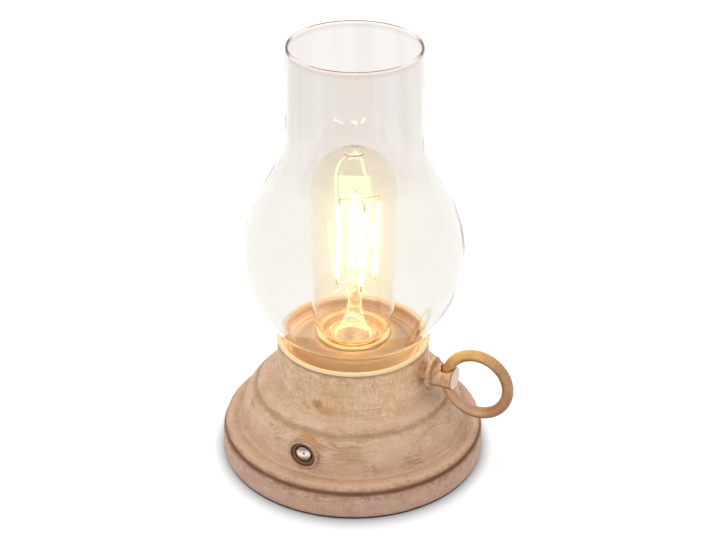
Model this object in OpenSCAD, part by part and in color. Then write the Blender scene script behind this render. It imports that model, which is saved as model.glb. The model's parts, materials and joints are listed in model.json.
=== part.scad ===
// Lantern style table lamp: spun metal base with a ring handle, clear
// chimney in a brass gallery, screw-in filament lamp, rechargeable inside.
// Millimetres, +Z up. The origin is the lamp axis on the table.
// The push button faces -Y and the ring handle points to +X.

/* [Base] */
// Outer radius of the skirt
skirt_r = 72.5; // [72:0.1:73]
// Thickness of the base plate
plate_t = 1.6; // [1.2:0.1:2]
// Thickness of the foam foot pad
pad_t = 1.0; // [0.8:0.1:1.4]

/* [Chimney] */
// Wall thickness of the glass chimney
glass_t = 1.25; // [1.1:0.05:1.6]
// Height of the top rim above the table
rim_z = 239; // [236:0.5:242]

/* [Lamp] */
// Radius of the straight part of the lamp envelope
bulb_r = 22.4; // [22:0.1:22.8]
// Thread pitch of the lamp cap
pitch = 3.629; // [3.6:0.001:3.65]
// Length of one lit filament
fil_len = 43; // [38:1:46]
// How far the lamp's glass stem stands off true, in degrees
stem_lean = 1.9; // [0:0.1:2]

/* [Handle] */
// Radius of the handle ring, to the middle of the wire
ring_r = 17.5; // [17:0.1:18]
// Diameter of the ring wire
wire_d = 6.1; // [5.6:0.1:6.2]
// Height of the handle stud's axis
stud_z = 58.6; // [58:0.1:59]

/* [Button] */
// Height of the button axis
btn_z = 29.7; // [29:0.1:30.5]
// Diameter of the polished button
btn_d = 8.8; // [8.4:0.1:9]

/* [Hidden] */

// ---- curves -------------------------------------------------------------
// One round of corner cutting keeps the two ends of an open line
function cut(p) = concat([p[0]],
  [for (i = [0:len(p) - 2]) each [p[i] * 0.75 + p[i + 1] * 0.25, p[i] * 0.25 + p[i + 1] * 0.75]],
  [p[len(p) - 1]]);
function soft(p, n) = n == 0 ? p : soft(cut(p), n - 1);
function rev(p) = [for (i = [len(p) - 1:-1:0]) p[i]];

// Outside of the base shell, (radius, height), from the skirt to the neck
shell_out = [[skirt_r - 1.1, pad_t], [skirt_r - 0.1, pad_t], [skirt_r + 0.1, 2.2], [skirt_r - 0.1, 8],
  [skirt_r - 0.2, 12.6], [skirt_r - 0.5, 14.1], [70.7, 14.3], [69.9, 14.5], [69.7, 15.1],
  [69.9, 15.6], [70.5, 15.8], [70.9, 16.4], [70.8, 17.4], [69.8, 18.2], [67.6, 18.7],
  [65.2, 19], [63.2, 19.3], [62.1, 20.2], [61.6, 21.8], [61.3, 24], [60.6, 28], [59.6, 31.6],
  [57.9, 34.9], [55.6, 37.8], [53.8, 39.4], [53, 39.6], [52.7, 40.2], [52.4, 41.3],
  [51.4, 42.5], [49.4, 43.4], [47, 44.1], [45.1, 45.2], [43.8, 47], [43, 49.6],
  [42.3, 53], [41.8, 57], [41.4, 62], [41.2, 69.6]];
// Inside of the base shell, the same way
shell_in = [[skirt_r - 1.3, pad_t], [71.2, 1.9], [71.2, 8], [71.1, 11.8], [70.4, 12.8], [69.2, 13.1],
  [68.5, 13.9], [68.4, 15.2], [68.4, 16.4], [67.8, 17.2], [66.4, 17.6], [64.6, 17.8],
  [62.4, 18.2], [61, 19.4], [60.4, 21.4], [60.1, 24], [59.4, 27.7], [58.4, 31.1],
  [56.8, 34.2], [54.6, 36.9], [53, 38.3], [51.9, 38.9], [51.5, 40], [51, 41],
  [50, 41.8], [48.6, 42.4], [46.4, 43.1], [44.2, 44.4], [42.7, 46.5], [41.8, 49.4],
  [41.1, 53], [40.6, 57], [40.2, 62], [40, 69.6]];

// Outside of the chimney, from its foot to the rim
glass_out = [[36.2, 64.8], [36.2, 68], [36.2, 73], [37.4, 75.8], [41.5, 79.6], [43.8, 82],
  [46.6, 85.8], [49.4, 90], [53.6, 98], [57.1, 108], [58.9, 118], [58.8, 128], [57, 138],
  [53.3, 148], [49.3, 156], [46.1, 162], [43.2, 168], [38.8, 176], [36.5, 180.4],
  [35.7, 185], [35.5, 192], [35.3, 210], [34.9, 228], [34.7, rim_z - 4], [34.65, rim_z - 1.4]];
function wall(p, t) = [for (i = [0:len(p) - 1])
  let (a = p[max(i - 1, 0)], b = p[min(i + 1, len(p) - 1)], d = b - a, l = norm(d))
  [p[i][0] - t * d[1] / l, p[i][1] + t * d[0] / l]];

// The mounting bar's ends bear on the underside of the flare below the neck
bar_z = min([for (p = soft(shell_in, 2)) if (p[0] > 42 && p[0] < 47) p[1]]);

// Lamp envelope, from the neck in the cap to the seal dimple on the crown
env_out = [[13, 69.5], [13, 72.4], [14.6, 73], [17.2, 74.4], [19.8, 77], [21.5, 81],
  [bulb_r - 0.3, 85.6], [bulb_r, 91], [bulb_r, 157], [bulb_r - 0.3, 163], [20.8, 168.8],
  [18.2, 173.8], [14, 177.8], [9.5, 180.2], [6.8, 181], [5.3, 181], [4.2, 180.2], [2, 179.8],
  [0, 179.7]];
t_env = 0.8;

// Ring handle
hole_x = 73.1 - ring_r;
wire_r = wire_d / 2;
stud_end = 60.5;

// Thread surface: radius waves with height and turns with angle
function thr(a, z, r, e) = r + e * cos(360 * z / pitch - a);

// Leads: a thin tube swept along hand-set points
function unit(v) = v / norm(v);
module lead(pts, r, n = 6) {
  p = soft(pts, 2);
  m = len(p);
  ring = [for (i = [0:m - 1])
    let (t = unit(p[min(i + 1, m - 1)] - p[max(i - 1, 0)]),
         ref = abs(t[2]) > 0.9 ? [1, 0, 0] : [0, 0, 1],
         u = unit(cross(ref, t)), v = cross(t, u))
    [for (k = [0:n - 1]) p[i] + r * (cos(360 * k / n) * u + sin(360 * k / n) * v)]];
  polyhedron(
    points = [for (q = ring) each q],
    faces = concat(
      [[for (k = [n - 1:-1:0]) k]],
      [for (i = [0:m - 2], k = [0:n - 1])
        [i * n + k, i * n + (k + 1) % n, (i + 1) * n + (k + 1) % n, (i + 1) * n + k]],
      [[for (k = [0:n - 1]) (m - 1) * n + k]]),
    convexity = 4);
}

// A wavy screw blank: closed body between z0 and z1
module screw_blank(r, e, z0, z1, n = 32, per = 8) {
  rows = round((z1 - z0) / pitch * per);
  dz = (z1 - z0) / rows;
  pts = concat(
    [for (j = [0:rows], i = [0:n - 1]) let (z = z0 + j * dz, a = 360 * i / n, q = thr(a, z, r, e))
      [q * cos(a), q * sin(a), z]],
    [[0, 0, z0], [0, 0, z1]]);
  cb = (rows + 1) * n;
  ct = cb + 1;
  faces = concat(
    [for (j = [0:rows - 1], i = [0:n - 1]) let (k = (i + 1) % n) each [
      [j * n + i, (j + 1) * n + i, (j + 1) * n + k], [j * n + i, (j + 1) * n + k, j * n + k]]],
    [for (i = [0:n - 1]) [cb, i, (i + 1) % n]],
    [for (i = [0:n - 1]) [ct, rows * n + (i + 1) % n, rows * n + i]]);
  polyhedron(points = pts, faces = faces, convexity = 6);
}

module spin(p, fn = 120) { rotate_extrude($fn = fn) polygon(p); }
module tube(r1, r0, z0, z1, fn = 64) {
  translate([0, 0, z0]) difference() {
    cylinder(r = r1, h = z1 - z0, $fn = fn);
    translate([0, 0, -1]) cylinder(r = r0, h = z1 - z0 + 2, $fn = fn);
  }
}
// Bodies along -Y at the button's height, given by distance from the lamp axis
module button_axis() { translate([0, 0, btn_z]) rotate([90, 0, 0]) children(); }
// Bodies along +X at the stud's height
module stud_axis() { translate([0, 0, stud_z]) rotate([0, 90, 0]) children(); }

// ---- base ---------------------------------------------------------------
module base_shell() {
  color([0.78, 0.63, 0.51]) difference() {
    spin(concat(soft(shell_out, 2), rev(soft(shell_in, 2))));
    button_axis() translate([0, 0, 45]) cylinder(r = 9, h = 25, $fn = 64);
    stud_axis() translate([0, 0, 34]) cylinder(r = 2.1, h = 12, $fn = 48);
    translate([0, 66, 9.8]) rotate([-90, 0, 0]) {
      translate([-4.2, 0, 0]) cylinder(r = 3.1, h = 10, $fn = 48);
      translate([4.2, 0, 0]) cylinder(r = 3.1, h = 10, $fn = 48);
      translate([-4.2, -3.1, 0]) cube([8.4, 6.2, 10]);
    }
  }
}

module post_places() { for (a = [45:90:315]) rotate([0, 0, a]) translate([65, 0, 0]) children(); }

module base_plate() {
  color([0.35, 0.33, 0.32]) difference() {
    translate([0, 0, pad_t]) cylinder(r = 70.9, h = plate_t, $fn = 120);
    post_places() {
      translate([0, 0, 0]) cylinder(r = 1.7, h = 5, $fn = 32);
      translate([0, 0, pad_t - 0.01]) cylinder(r1 = 3.1, r2 = 1.7, h = 1.4, $fn = 32);
    }
  }
}

// Threaded posts, cut to the inside of the shell they are brazed to
module plate_posts() {
  color([0.6, 0.6, 0.6]) difference() {
    post_places() translate([0, 0, pad_t + plate_t]) cylinder(r = 3, h = 20, $fn = 32);
    post_places() translate([0, 0, 1]) cylinder(r = 1.5, h = 11, $fn = 32);
    spin(concat(soft(shell_in, 2), [[40, 90], [90, 90], [90, pad_t]]));
  }
}

module plate_screws() {
  color([0.7, 0.7, 0.7]) post_places() difference() {
    union() {
      translate([0, 0, pad_t + 0.05]) cylinder(r1 = 2.95, r2 = 1.45, h = 1.45, $fn = 32);
      translate([0, 0, pad_t + 1]) cylinder(r = 1.45, h = 8, $fn = 32);
    }
    translate([-2, -0.35, pad_t - 0.5]) cube([4, 0.7, 1.2]);
    translate([-0.35, -2, pad_t - 0.5]) cube([0.7, 4, 1.2]);
  }
}

module foot_pad() {
  color([0.2, 0.19, 0.19]) cylinder(r = skirt_r - 0.6, h = pad_t, $fn = 120);
}

// ---- gallery and lampholder ---------------------------------------------
// Upper skin of the gallery: centre hole, raised deck, trough, wall, rolled lip
deck_top = [[19, 72], [21.6, 72], [23.6, 71.3], [26, 69.6], [30.2, 66.2], [32, 64.6],
  [33.6, 64], [37.4, 64], [38.5, 64.3], [38.8, 65.4], [38.9, 68.2], [38.9, 69.8],
  [39.2, 70.9], [40.2, 71.4], [41.3, 71], [41.7, 70.1], [41.5, 69.7]];
deck_low = [[19, 71.2], [21.4, 71.2], [23, 70.6], [25.4, 69], [29.6, 65.6], [31.4, 63.9],
  [33.3, 63.2], [37.8, 63.2], [39.2, 63.6], [39.6, 65.2], [39.7, 68.6], [39.75, 69.2],
  [39.9, 69.6], [40.4, 69.6], [40.9, 69.6], [41.4, 69.6]];
module gallery_cup() {
  color([0.86, 0.66, 0.38]) spin(concat(soft(deck_top, 1), rev(soft(deck_low, 1))));
}

module glass_chimney() {
  o = soft(glass_out, 2);
  i = wall(o, glass_t);
  n = len(o) - 1;
  h = glass_t / 2;
  foot = (o[0] + i[0]) / 2;
  rim = (o[n] + i[n]) / 2;
  color([0.9, 0.88, 0.88, 0.35]) spin(concat(
    [for (a = [200:20:340]) [foot[0] + h * cos(a), foot[1] + 0.5 * sin(a)]], o,
    [for (a = [15:15:165]) [rim[0] + (h + 0.2) * cos(a), rim[1] + 1.4 * sin(a)]],
    rev(i)));
}

module shade_ring() {
  color([0.8, 0.6, 0.34]) spin([[18.75, 72], [20.3, 72], [20.5, 72.2], [20.5, 72.9],
    [20.2, 73.4], [19.7, 73.6], [19.3, 73.6], [18.9, 73.4], [18.75, 73.1]]);
}

module lampholder_body() {
  color([0.16, 0.13, 0.11]) difference() {
    union() {
      translate([0, 0, 44.6]) cylinder(r = 18.7, h = 28.4, $fn = 96);
      translate([0, 0, 69]) cylinder(r = 20.7, h = 2.2, $fn = 96);
      translate([0, 0, bar_z]) cylinder(r = 12, h = 45 - bar_z, $fn = 64);
    }
    translate([0, 0, 50]) cylinder(r = 14.4, h = 30, $fn = 96);
    translate([0, 0, 67.4]) cylinder(r = 17.6, h = 10, $fn = 96);
    translate([0, 0, 47.6]) cylinder(r = 10, h = 5, $fn = 64);
    translate([0, 0, 40]) cylinder(r = 5, h = 4.6, $fn = 48);
    translate([0, 0, 42]) cylinder(r = 2.4, h = 8, $fn = 32);
  }
}

module lampholder_shell() {
  color([0.82, 0.66, 0.36]) difference() {
    translate([0, 0, 50]) cylinder(r = 14.4, h = 17.4, $fn = 96);
    screw_blank(12.84, 0.52, 52.6, 68);
    translate([0, 0, 49]) cylinder(r = 13.36, h = 4, $fn = 64);
    translate([0, 0, 66]) cylinder(r = 13.7, h = 4, $fn = 64);
  }
}

module lampholder_contact() {
  color([0.85, 0.68, 0.4]) difference() {
    union() {
      translate([0, 0, 47.6]) cylinder(r = 3.4, h = 0.5, $fn = 32);
      translate([-2, -9.4, 47.6]) cube([4, 9.4, 0.4]);
      translate([0, 0, 47.9]) cylinder(r1 = 3, r2 = 2, h = 0.75, $fn = 32);
    }
    translate([0, -7.5, 47]) cylinder(r = 0.9, h = 2, $fn = 24);
  }
}

module lampholder_nipple() {
  color([0.72, 0.7, 0.66]) translate([0, 0, bar_z - 7]) difference() {
    cylinder(r = 4.98, h = 51.6 - bar_z, $fn = 48);
    translate([0, 0, -1]) cylinder(r = 3.5, h = 12, $fn = 48);
  }
}

module bridge_bar() {
  color([0.66, 0.66, 0.66]) difference() {
    translate([-46, -8, bar_z - 2]) cube([92, 16, 2]);
    translate([0, 0, 36]) cylinder(r = 5.1, h = 9, $fn = 48);
    for (s = [-1, 1]) translate([s * 28, 0, 36]) cylinder(r = 4, h = 9, $fn = 32);
  }
}

module bridge_nut() {
  color([0.75, 0.73, 0.7]) translate([0, 0, bar_z - 5.3]) difference() {
    cylinder(r = 8.1, h = 3.3, $fn = 6);
    translate([0, 0, -1]) cylinder(r = 4.98, h = 6, $fn = 48);
  }
}

// ---- lamp ---------------------------------------------------------------
module bulb_contact() {
  color([0.8, 0.78, 0.74]) spin([[0, 48.95], [2.6, 48.95], [4.3, 49.3], [4.8, 49.9], [4.8, 50.4], [0, 50.4]], 48);
}

module bulb_insulator() {
  color([0.1, 0.1, 0.12]) spin([[0, 50.4], [5.4, 50.4], [10.3, 53.2], [10.5, 53.5], [10.5, 54.6], [0, 54.6]], 64);
}

module bulb_cap() {
  color([0.8, 0.77, 0.7]) difference() {
    union() {
      screw_blank(12.6, 0.5, 54.9, 67.6);
      spin([[0, 53.4], [10.9, 53.4], [12, 54.3], [12.05, 55.4], [0, 55.4]], 64);
      spin([[0, 67], [12.4, 67], [13.5, 67.6], [13.9, 68.6], [13.9, 71.3], [13.6, 71.7], [0, 71.7]], 64);
    }
    translate([0, 0, 54.6]) cylinder(r = 11.4, h = 20, $fn = 64);
    translate([0, 0, 69.2]) cylinder(r = 13.1, h = 10, $fn = 64);
    translate([0, 0, 50]) cylinder(r = 10.6, h = 10, $fn = 64);
  }
}

module bulb_glass() {
  o = soft(env_out, 2);
  i = wall(o, t_env);
  n = len(o) - 1;
  color([1, 0.82, 0.55, 0.35]) spin(concat(o, [[0, o[n][1] - t_env]],
    [for (k = [n - 1:-1:0]) i[k]]));
}

// The stem and what it carries lean a little, about the flare
module leaning() {
  translate([0, 0, 70]) rotate([0, 0, 25]) rotate([0, stem_lean, 0]) rotate([0, 0, -25])
    translate([0, 0, -70]) children();
}

module bulb_stem() {
  color([0.95, 0.93, 0.9, 0.5]) {
    difference() {
      union() {
        spin([[0, 69.5], [12.15, 69.5], [12.15, 70.3], [10.1, 71.4], [8.6, 73.4], [0, 73.4]], 48);
        leaning() spin([[0, 71], [10, 71], [8, 74.6], [5.8, 80], [4.5, 86],
          [3.8, 91], [3.3, 95.5], [2.2, 98.5], [1.3, 101], [1.2, 156], [1.9, 157.4],
          [1.9, 159], [1.2, 159.8], [0, 160]], 48);
      }
      translate([0, 0, 69]) cylinder(r1 = 10.4, r2 = 2, h = 15, $fn = 48);
    }
  }
}

fil_r = 10.4;
fil_z0 = 107.5;
fil_a = [15:90:285];
module at_filaments() { leaning() for (a = fil_a) rotate([0, 0, a + 25]) translate([fil_r, 0, 0]) children(); }
module bulb_filaments() {
  color([1, 0.9, 0.6]) at_filaments() translate([0, 0, fil_z0]) cylinder(r = 1.1, h = fil_len, $fn = 24);
}

module bulb_wires() {
  z1 = fil_z0 + fil_len;
  color([0.8, 0.76, 0.6]) difference() {
    union() {
      at_filaments() {
        translate([0, 0, z1]) cylinder(r = 0.5, h = 4, $fn = 16);
        translate([1.3 - fil_r, 0, z1 + 3.2]) rotate([0, 90, 0]) cylinder(r = 0.32, h = fil_r - 1.3, $fn = 16);
        translate([0, 0, fil_z0 - 4]) cylinder(r = 0.5, h = 4, $fn = 16);
        translate([3 - fil_r, 0, fil_z0 - 3.4]) rotate([0, 90, 0]) cylinder(r = 0.32, h = fil_r - 3, $fn = 16);
        translate([3 - fil_r, 0, 98]) cylinder(r = 0.32, h = fil_z0 - 101.1, $fn = 16);
      }
    }
    leaning() translate([0, 0, 60]) cylinder(r = 1.35, h = 110, $fn = 24);
  }
}

// ---- handle -------------------------------------------------------------
module handle_ring() {
  color([0.75, 0.55, 0.34]) translate([73.1, 0, stud_z]) rotate([90, 0, 0])
    rotate_extrude($fn = 128) translate([ring_r, 0]) circle(r = wire_r, $fn = 48);
}

// Reach of the curved wire from the hole's axis at a height, plus a gap
function reach(z) = ring_r - sqrt(ring_r * ring_r - z * z)
  + wire_r / cos(asin(z / ring_r)) + 0.25;
module handle_stud() {
  bell = [for (z = [-6.8:0.8:-0.4]) [reach(-z), z]];
  color([0.77, 0.62, 0.49]) difference() {
    stud_axis() union() {
      translate([0, 0, 48.5]) rotate_extrude($fn = 64) polygon([[0, 0], [6.5, 0], [6.3, 0.5],
        [6.3, stud_end - 49], [6.15, stud_end - 48.65], [5.8, stud_end - 48.5], [0, stud_end - 48.5]]);
      translate([0, 0, 36]) cylinder(r = 2, h = 13, $fn = 32);
    }
    // Upright bore, belled above and below on the side that the wire curves to
    translate([hole_x, 0, stud_z - 8]) cylinder(r = 3.4, h = 16, $fn = 64);
    translate([hole_x, 0, stud_z]) intersection() {
      rotate_extrude($fn = 64) polygon(concat([[0, -6.8]], bell,
        [for (k = [len(bell) - 1:-1:0]) [bell[k][0], -bell[k][1]]], [[0, 6.8]]));
      translate([-2.3, -8, -8]) cube([16, 16, 16]);
    }
  }
}

module handle_flange() {
  color([0.78, 0.63, 0.5]) stud_axis() difference() {
    translate([0, 0, 46.5]) rotate_extrude($fn = 96) polygon([[0, 0], [8.9, 0], [9.2, 0.3], [9.2, 1.6],
      [8.9, 2], [0, 2]]);
    translate([0, 0, 40]) cylinder(r = 2.02, h = 12, $fn = 32);
  }
}

module handle_spacer() {
  color([0.77, 0.62, 0.49]) difference() {
    stud_axis() translate([0, 0, 38]) cylinder(r = 4.9, h = 8.5, $fn = 64);
    stud_axis() translate([0, 0, 30]) cylinder(r = 2.02, h = 20, $fn = 32);
    spin(concat(soft(shell_out, 2), [[0, 69.6], [0, 0.7]]));
  }
}

module handle_nut() {
  color([0.7, 0.7, 0.7]) stud_axis() translate([0, 0, 36.95]) difference() {
    cylinder(r = 4.04, h = 3.1, $fn = 6);
    translate([0, 0, -1]) cylinder(r = 2, h = 6, $fn = 32);
  }
}

// ---- button -------------------------------------------------------------
module button_bush() {
  color([0.77, 0.62, 0.5]) button_axis() difference() {
    translate([0, 0, 52]) rotate_extrude($fn = 96) polygon([[0, 0], [9, 0], [9, 9.3], [8.7, 9.8],
      [8.2, 9.95], [0, 9.95]]);
    translate([0, 0, 50]) cylinder(r = 6.1, h = 20, $fn = 64);
    translate([0, 0, 57.4]) cylinder(r = 7.15, h = 10, $fn = 64);
  }
}

module button_bezel() {
  color([0.3, 0.2, 0.15]) button_axis() rotate_extrude($fn = 96) polygon([
    [btn_d / 2 + 0.2, 57.4], [7.15, 57.4], [7.15, 61.6], [6.9, 61.75], [6.5, 61.6], [6.2, 60.9],
    [5.9, 60.7], [5.6, 60.85], [5.3, 60.8], [5.1, 60.2], [btn_d / 2 + 0.2, 60]]);
}

module button_cap() {
  r = btn_d / 2;
  color([0.9, 0.9, 0.9]) button_axis() rotate_extrude($fn = 64) polygon(concat(
    [[0, 52.6], [1.8, 52.6], [1.8, 57.7], [r, 57.7], [r, 60.5]],
    [for (a = [15:15:75]) [r * cos(a), 60.5 + 2 * sin(a)]], [[0, 62.5]]));
}

module switch_body() {
  color([0.12, 0.12, 0.13]) button_axis() difference() {
    union() {
      translate([0, 0, 41]) cylinder(r = 6, h = 15.6, $fn = 64);
      for (s = [-1, 1]) translate([s * 2.6 - 0.3, -0.9, 37.5]) cube([0.6, 1.8, 4]);
    }
    translate([0, 0, 50.4]) cylinder(r = 2.1, h = 10, $fn = 32);
  }
}

module switch_nut() {
  color([0.7, 0.7, 0.7]) button_axis() translate([0, 0, 49]) difference() {
    cylinder(r = 8.7, h = 2.95, $fn = 6);
    translate([0, 0, -1]) cylinder(r = 6.02, h = 6, $fn = 64);
  }
}

// ---- power --------------------------------------------------------------
cell_y = [-17, 3];
cell_z = 13.2;
module battery_cells() {
  color([0.2, 0.42, 0.62]) for (y = cell_y) translate([-32.5, y, cell_z]) rotate([0, 90, 0]) {
    cylinder(r = 9.2, h = 64, $fn = 64);
    cylinder(r = 3, h = 65, $fn = 32);
  }
}

module battery_tray() {
  color([0.1, 0.1, 0.1]) difference() {
    translate([-38, -28.4, pad_t + plate_t]) cube([76, 42.8, 12]);
    translate([-36, -26.6, pad_t + plate_t + 1.4]) cube([72, 39.2, 20]);
  }
}

module battery_contacts() {
  color([0.75, 0.75, 0.72]) for (s = [-1, 1]) {
    translate([s * 35.7 - 0.25, -22, 6]) cube([0.5, 30, 12]);
    for (y = cell_y) translate([s > 0 ? 32.55 : -35.45, y, cell_z]) rotate([0, 90, 0])
      cylinder(r = 2.6, h = 2.9, $fn = 32);
  }
}

board_z = 6.6;
module driver_board() {
  color([0.1, 0.38, 0.2]) difference() {
    union() {
      translate([-20, 20, board_z]) cube([40, 41, 1.6]);
      translate([-7, 60, board_z]) cube([14, 8.4, 1.6]);
    }
    for (x = [-17, 17], y = [23, 58]) translate([x, y, 0]) cylinder(r = 1.3, h = 20, $fn = 24);
  }
}

module board_components() {
  z = board_z + 1.6;
  color([0.15, 0.15, 0.16]) {
    translate([-12, 32, z]) cube([7, 7, 4.2]);
    translate([1, 30, z]) cube([5, 6, 1.5]);
    translate([9, 40, z]) cube([6, 5, 1.5]);
    translate([-13, 46, z]) cylinder(r = 3.1, h = 7, $fn = 32);
    translate([12, 31, z]) cylinder(r = 2.5, h = 5, $fn = 32);
    translate([-3, 42, z]) cube([3.2, 1.6, 1.2]);
    translate([-3, 46, z]) cube([3.2, 1.6, 1.2]);
    translate([-9, 22.5, z]) cube([18, 4.5, 5]);
  }
}

module board_standoffs() {
  color([0.85, 0.8, 0.6]) for (x = [-17, 17], y = [23, 58]) translate([x, y, 0]) {
    translate([0, 0, pad_t + plate_t]) cylinder(r = 2.4, h = board_z - pad_t - plate_t, $fn = 24);
    translate([0, 0, board_z + 1.6]) cylinder(r = 2.3, h = 1.3, $fn = 24);
    translate([0, 0, board_z - 1]) cylinder(r = 1.3, h = 3, $fn = 24);
  }
}

module charge_socket() {
  color([0.75, 0.75, 0.77]) difference() {
    translate([0, 62, 9.8]) rotate([-90, 0, 0]) {
      for (s = [-1, 1]) translate([s * 2.9, 0, 0]) cylinder(r = 1.6, h = 8.6, $fn = 32);
      translate([-2.9, -1.6, 0]) cube([5.8, 3.2, 8.6]);
    }
    translate([0, 63, 9.8]) rotate([-90, 0, 0]) {
      for (s = [-1, 1]) translate([s * 2.9, 0, 0]) cylinder(r = 1.25, h = 8.6, $fn = 32);
      translate([-2.9, -1.25, 0]) cube([5.8, 2.5, 8.6]);
    }
  }
}

module charge_port_frame() {
  color([0.12, 0.11, 0.11]) difference() {
    translate([0, 68.6, 9.8]) rotate([-90, 0, 0]) {
      translate([-4.2, 0, 0]) cylinder(r = 3.1, h = 4, $fn = 48);
      translate([4.2, 0, 0]) cylinder(r = 3.1, h = 4, $fn = 48);
      translate([-4.2, -3.1, 0]) cube([8.4, 6.2, 4]);
    }
    translate([0, 60, 9.8]) rotate([-90, 0, 0]) {
      translate([-3.1, 0, 0]) cylinder(r = 1.75, h = 15, $fn = 32);
      translate([3.1, 0, 0]) cylinder(r = 1.75, h = 15, $fn = 32);
      translate([-3.1, -1.75, 0]) cube([6.2, 3.5, 15]);
    }
  }
}

// ---- leads --------------------------------------------------------------
module lamp_leads() {
  color([0.75, 0.15, 0.12]) lead([[-3, 24, 13.4], [-3, 23, 19], [-2, 15, 27], [-1.6, 6, 30],
    [-1.4, 0.8, 34], [-1.2, 0, 40], [-1.2, 0, 47.4]], 0.7);
  color([0.1, 0.1, 0.1]) lead([[3, 24, 13.4], [3, 23, 19], [2, 15, 27.6], [1.6, 6, 30.6],
    [1.4, 0.8, 34.6], [1.2, 0, 40], [1.2, 0, 47.4]], 0.7);
}

module switch_leads() {
  color([0.9, 0.9, 0.88]) for (s = [-1, 1])
    lead([[s * 2.6, -37.4, btn_z], [s * 2.6, -33, btn_z], [s * 4, -24, 28.5], [s * 5, -10, 26],
      [s * 6, 8, 26], [s * 6.6, 20, 23], [s * 6.8, 24.6, 17.5], [s * 6.8, 24.6, 13.4]], 0.6);
}

module battery_leads() {
  color([0.75, 0.15, 0.12]) lead([[35.7, 3, 18.1], [35.7, 3, 21], [34, 9, 23.5], [26, 17, 20],
    [18, 20, 14], [13, 25, 11.5], [9.1, 25, 10.5]], 0.7);
  color([0.1, 0.1, 0.1]) lead([[-35.7, 3, 18.1], [-35.7, 3, 21], [-34, 9, 23.5], [-26, 17, 20],
    [-18, 20, 14], [-13, 25, 11.5], [-9.1, 25, 10.5]], 0.7);
}

base_shell();
base_plate();
plate_posts();
plate_screws();
foot_pad();
gallery_cup();
glass_chimney();
shade_ring();
lampholder_body();
lampholder_shell();
lampholder_contact();
lampholder_nipple();
bridge_bar();
bridge_nut();
bulb_contact();
bulb_insulator();
bulb_cap();
bulb_glass();
bulb_stem();
bulb_filaments();
bulb_wires();
handle_ring();
handle_stud();
handle_flange();
handle_spacer();
handle_nut();
button_bush();
button_bezel();
button_cap();
switch_body();
switch_nut();
battery_cells();
battery_tray();
battery_contacts();
driver_board();
board_components();
board_standoffs();
charge_socket();
charge_port_frame();
lamp_leads();
switch_leads();
battery_leads();
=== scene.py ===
import json
import math

import bmesh
import bpy
from mathutils import Matrix, Vector


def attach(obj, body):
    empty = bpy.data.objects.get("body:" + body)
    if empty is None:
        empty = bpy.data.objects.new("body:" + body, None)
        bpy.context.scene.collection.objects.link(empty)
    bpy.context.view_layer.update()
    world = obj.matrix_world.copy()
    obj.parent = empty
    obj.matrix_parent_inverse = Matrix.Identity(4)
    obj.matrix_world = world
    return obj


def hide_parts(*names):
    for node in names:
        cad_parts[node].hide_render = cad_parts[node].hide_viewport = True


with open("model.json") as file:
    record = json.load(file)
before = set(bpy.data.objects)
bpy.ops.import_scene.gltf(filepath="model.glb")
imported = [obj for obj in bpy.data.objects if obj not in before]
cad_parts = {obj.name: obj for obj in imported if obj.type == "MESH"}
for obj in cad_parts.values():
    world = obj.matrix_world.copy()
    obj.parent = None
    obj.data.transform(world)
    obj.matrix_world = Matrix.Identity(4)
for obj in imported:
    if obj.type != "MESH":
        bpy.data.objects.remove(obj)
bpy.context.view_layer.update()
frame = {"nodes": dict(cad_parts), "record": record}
nodes = frame["nodes"]
scene = bpy.context.scene
MM = 0.001


# ---------------------------------------------------------------- curves
def chaikin(p, n=1):
    for _ in range(n):
        q = [p[0]]
        for a, b in zip(p, p[1:]):
            q.append((a[0] * 0.75 + b[0] * 0.25, a[1] * 0.75 + b[1] * 0.25))
            q.append((a[0] * 0.25 + b[0] * 0.75, a[1] * 0.25 + b[1] * 0.75))
        q.append(p[-1])
        p = q
    return p


def wall(p, t):
    out = []
    for i in range(len(p)):
        a, b = p[max(i - 1, 0)], p[min(i + 1, len(p) - 1)]
        dr, dz = b[0] - a[0], b[1] - a[1]
        m = math.hypot(dr, dz)
        out.append((p[i][0] - t * dz / m, p[i][1] + t * dr / m))
    return out


def lathe(name, prof, n=192, loop=True, sharp=40.0, swirl=None):
    """A turned mesh about Z from (radius, height) in mm; it stores the distance along the outline."""
    verts, rings, dist, run, last = [], [], [], 0.0, None
    for r, z in prof:
        if last is not None:
            run += math.hypot(r - last[0], z - last[1])
        last = (r, z)
        if r < 1e-6:
            rings.append([len(verts)])
            verts.append((0.0, 0.0, z * MM))
            dist.append(run)
            continue
        ring = []
        for k in range(n):
            a = 2 * math.pi * k / n
            rr = r + (swirl(a, z) if swirl else 0.0)
            ring.append(len(verts))
            verts.append((rr * math.cos(a) * MM, rr * math.sin(a) * MM, z * MM))
            dist.append(run)
        rings.append(ring)
    faces = []
    pairs = list(zip(rings, rings[1:]))
    if loop:
        pairs.append((rings[-1], rings[0]))
    for lo, hi in pairs:
        if len(lo) == 1 and len(hi) == 1:
            continue
        for k in range(n):
            k2 = (k + 1) % n
            if len(lo) == 1:
                faces.append((lo[0], hi[k2], hi[k]))
            elif len(hi) == 1:
                faces.append((lo[k], lo[k2], hi[0]))
            else:
                faces.append((lo[k], lo[k2], hi[k2], hi[k]))
    me = bpy.data.meshes.new(name)
    me.from_pydata(verts, [], faces)
    at = me.attributes.new("along", "FLOAT", "POINT")
    at.data.foreach_set("value", dist)
    bm = bmesh.new()
    bm.from_mesh(me)
    bmesh.ops.recalc_face_normals(bm, faces=bm.faces[:])
    bm.to_mesh(me)
    bm.free()
    me.polygons.foreach_set("use_smooth", [True] * len(me.polygons))
    me.set_sharp_from_angle(angle=math.radians(sharp))
    ob = bpy.data.objects.new(name, me)
    scene.collection.objects.link(ob)
    return ob


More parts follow.
